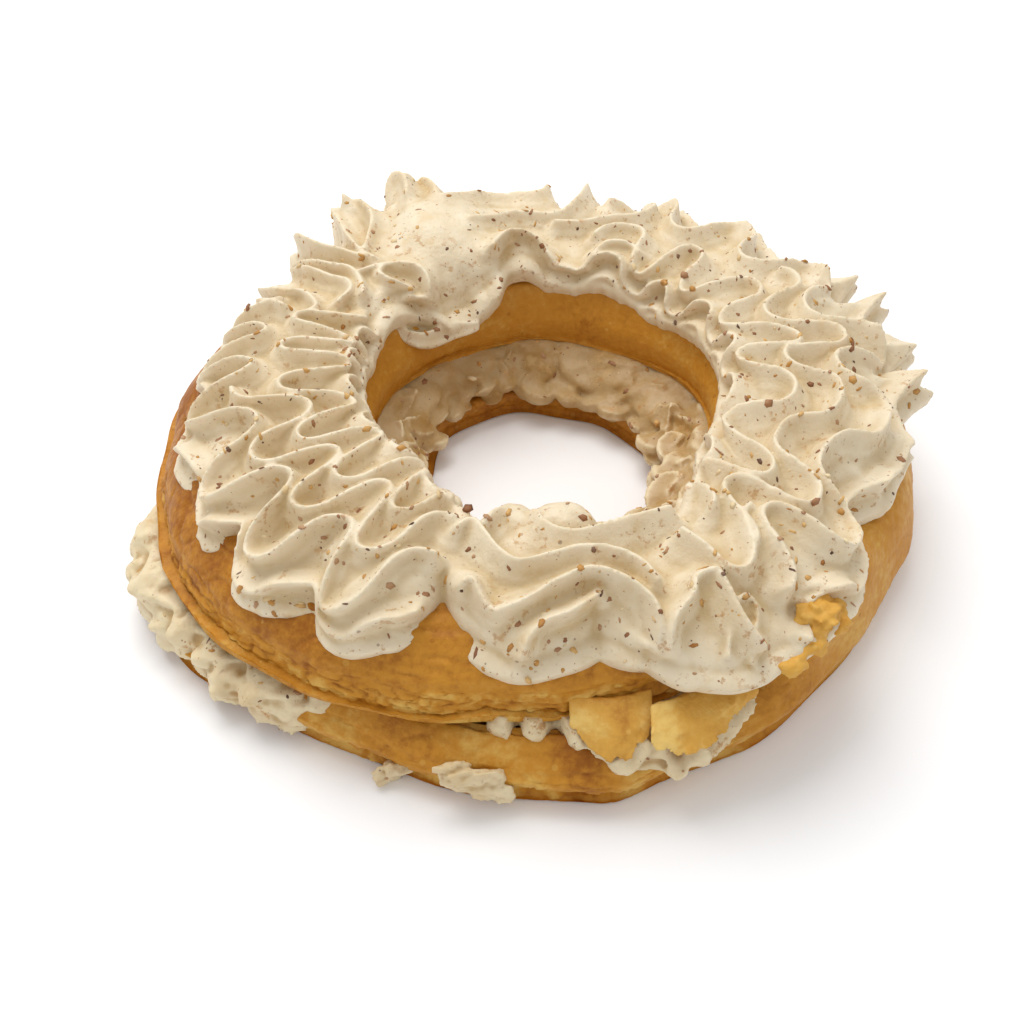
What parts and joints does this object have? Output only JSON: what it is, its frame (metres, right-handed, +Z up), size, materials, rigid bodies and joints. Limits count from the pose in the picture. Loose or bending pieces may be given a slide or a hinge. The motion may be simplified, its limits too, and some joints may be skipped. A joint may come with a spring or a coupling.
{
  "type": "paris brest pastry",
  "caption": "Ring-shaped choux pastry cut level, with praline cream between its halves and a zigzag of star-piped cream on top, round an open middle.",
  "frame": {"origin": "bottom centre of the bounding box, on the surface the pastry rests on", "axes": "+Z up along the ring's axis, +X towards the uncut shoulder at its right, -Y towards its front"},
  "size_m": [0.212, 0.2052, 0.0565],
  "materials": {
    "choux_base": "baked choux pastry, pale at the sides and browned in patches",
    "choux_lid": "baked choux pastry, golden brown, finely pitted",
    "flaky_crust": "torn pastry crust, dry",
    "filling": "praline cream, matte, speckled",
    "praline_cream": "praline cream, soft sheen, speckled"
  },
  "bodies": {
    "root": {"base_ring": "choux_base", "filling_cream": "filling", "lid_ring": "choux_lid", "crust_flake_left": "flaky_crust", "crust_flake_right": "flaky_crust", "top_cream": "praline_cream"}
  },
  "joints": []
}
